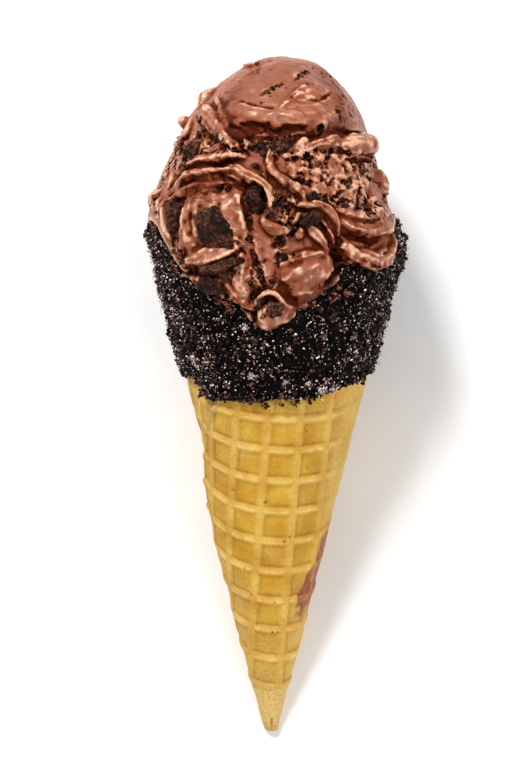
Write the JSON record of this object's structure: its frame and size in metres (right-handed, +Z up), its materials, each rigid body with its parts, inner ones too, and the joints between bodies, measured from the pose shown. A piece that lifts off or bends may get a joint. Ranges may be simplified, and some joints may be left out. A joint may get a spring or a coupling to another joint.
{
  "type": "ice cream cone",
  "caption": "Rolled waffle cone with a crumb-coated dipped rim, filled with scoops of chocolate ice cream and cookie chunks, lying on its back.",
  "frame": {"origin": "middle of the flat spot under the back of the coated rim, on the surface that the cone lies on", "axes": "+Z up, +Y along the lying cone from its tip towards the ice cream, +X to the right seen from above with the ice cream away from the viewer"},
  "size_m": [0.0868, 0.2189, 0.0881],
  "materials": {
    "waffle": "baked, dry, golden brown waffle",
    "crumb_coat": "dark chocolate dip with pressed-in black cookie crumbs and pale specks",
    "ice_cream": "soft, moist chocolate ice cream",
    "cookie": "broken dark cookie"
  },
  "bodies": {
    "root": {"waffle_cone": "waffle", "cookie_coat": "crumb_coat", "scoop_lower": "ice_cream", "scoop_upper": "ice_cream", "chunk_front_left": "cookie", "chunk_far_left": "cookie", "chunk_low_left": "cookie", "chunk_rim_left": "cookie", "chunk_left_hollow": "cookie", "chunk_under_lip": "cookie", "chunk_middle": "cookie", "chunk_bean": "cookie", "chunk_tongue": "cookie"}
  },
  "joints": []
}
